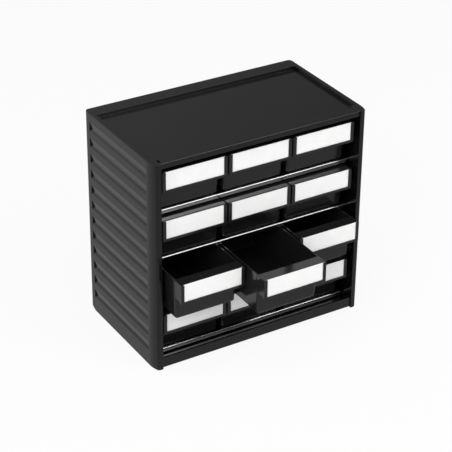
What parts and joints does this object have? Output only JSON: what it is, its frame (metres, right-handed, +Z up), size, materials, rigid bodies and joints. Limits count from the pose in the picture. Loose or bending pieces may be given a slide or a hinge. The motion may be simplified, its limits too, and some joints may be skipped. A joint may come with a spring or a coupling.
{
  "type": "storage cabinet",
  "caption": "Desktop storage cabinet with rows of small pull-out drawers, each with a hooded label front, on steel shelves between grooved side panels under a tray top.",
  "frame": {"origin": "centre of the cabinet's footprint, on the surface that it stands on", "axes": "+X to the cabinet's right seen from the front, +Y to the rear, +Z up; the drawers pull out along -Y"},
  "size_m": [0.31, 0.2587, 0.293],
  "materials": {
    "cabinet_plastic": "fine satin grain, black",
    "drawer_plastic": "semi-gloss moulded, black",
    "shelf_steel": "galvanised sheet, smooth",
    "label_card": "plain white paper card"
  },
  "bodies": {
    "cabinet": {"left_side_panel": "cabinet_plastic", "right_side_panel": "cabinet_plastic", "top_panel": "cabinet_plastic", "base_panel": "cabinet_plastic", "back_panel": "cabinet_plastic", "top_row_shelf": "shelf_steel", "upper_row_shelf": "shelf_steel", "lower_row_shelf": "shelf_steel", "bottom_row_shelf": "shelf_steel"},
    "top_row_left_drawer": {"top_row_left_drawer": "drawer_plastic", "top_row_left_label_card": "label_card"},
    "top_row_middle_drawer": {"top_row_middle_drawer": "drawer_plastic", "top_row_middle_label_card": "label_card"},
    "top_row_right_drawer": {"top_row_right_drawer": "drawer_plastic", "top_row_right_label_card": "label_card"},
    "upper_row_left_drawer": {"upper_row_left_drawer": "drawer_plastic", "upper_row_left_label_card": "label_card"},
    "upper_row_middle_drawer": {"upper_row_middle_drawer": "drawer_plastic", "upper_row_middle_label_card": "label_card"},
    "upper_row_right_drawer": {"upper_row_right_drawer": "drawer_plastic", "upper_row_right_label_card": "label_card"},
    "lower_row_left_drawer": {"lower_row_left_drawer": "drawer_plastic", "lower_row_left_label_card": "label_card"},
    "lower_row_middle_drawer": {"lower_row_middle_drawer": "drawer_plastic", "lower_row_middle_label_card": "label_card"},
    "lower_row_right_drawer": {"lower_row_right_drawer": "drawer_plastic", "lower_row_right_label_card": "label_card"},
    "bottom_row_left_drawer": {"bottom_row_left_drawer": "drawer_plastic", "bottom_row_left_label_card": "label_card"},
    "bottom_row_middle_drawer": {"bottom_row_middle_drawer": "drawer_plastic", "bottom_row_middle_label_card": "label_card"},
    "bottom_row_right_drawer": {"bottom_row_right_drawer": "drawer_plastic", "bottom_row_right_label_card": "label_card"}
  },
  "joints": [
    {"name": "top_row_left_slide", "type": "slide", "parent": "cabinet", "child": "top_row_left_drawer", "axis": [0, -1, 0], "range_m": [0, 0.124]},
    {"name": "top_row_middle_slide", "type": "slide", "parent": "cabinet", "child": "top_row_middle_drawer", "axis": [0, -1, 0], "range_m": [0, 0.124]},
    {"name": "top_row_right_slide", "type": "slide", "parent": "cabinet", "child": "top_row_right_drawer", "axis": [0, -1, 0], "range_m": [0, 0.124]},
    {"name": "upper_row_left_slide", "type": "slide", "parent": "cabinet", "child": "upper_row_left_drawer", "axis": [0, -1, 0], "range_m": [0, 0.124]},
    {"name": "upper_row_middle_slide", "type": "slide", "parent": "cabinet", "child": "upper_row_middle_drawer", "axis": [0, -1, 0], "range_m": [0, 0.124]},
    {"name": "upper_row_right_slide", "type": "slide", "parent": "cabinet", "child": "upper_row_right_drawer", "axis": [0, -1, 0], "range_m": [0, 0.124]},
    {"name": "lower_row_left_slide", "type": "slide", "parent": "cabinet", "child": "lower_row_left_drawer", "axis": [0, -1, 0], "range_m": [-0.0438, 0.0802]},
    {"name": "lower_row_middle_slide", "type": "slide", "parent": "cabinet", "child": "lower_row_middle_drawer", "axis": [0, -1, 0], "range_m": [-0.0852, 0.0388]},
    {"name": "lower_row_right_slide", "type": "slide", "parent": "cabinet", "child": "lower_row_right_drawer", "axis": [0, -1, 0], "range_m": [-0.0219, 0.1021]},
    {"name": "bottom_row_left_slide", "type": "slide", "parent": "cabinet", "child": "bottom_row_left_drawer", "axis": [0, -1, 0], "range_m": [0, 0.124]},
    {"name": "bottom_row_middle_slide", "type": "slide", "parent": "cabinet", "child": "bottom_row_middle_drawer", "axis": [0, -1, 0], "range_m": [0, 0.124]},
    {"name": "bottom_row_right_slide", "type": "slide", "parent": "cabinet", "child": "bottom_row_right_drawer", "axis": [0, -1, 0], "range_m": [0, 0.124]}
  ]
}
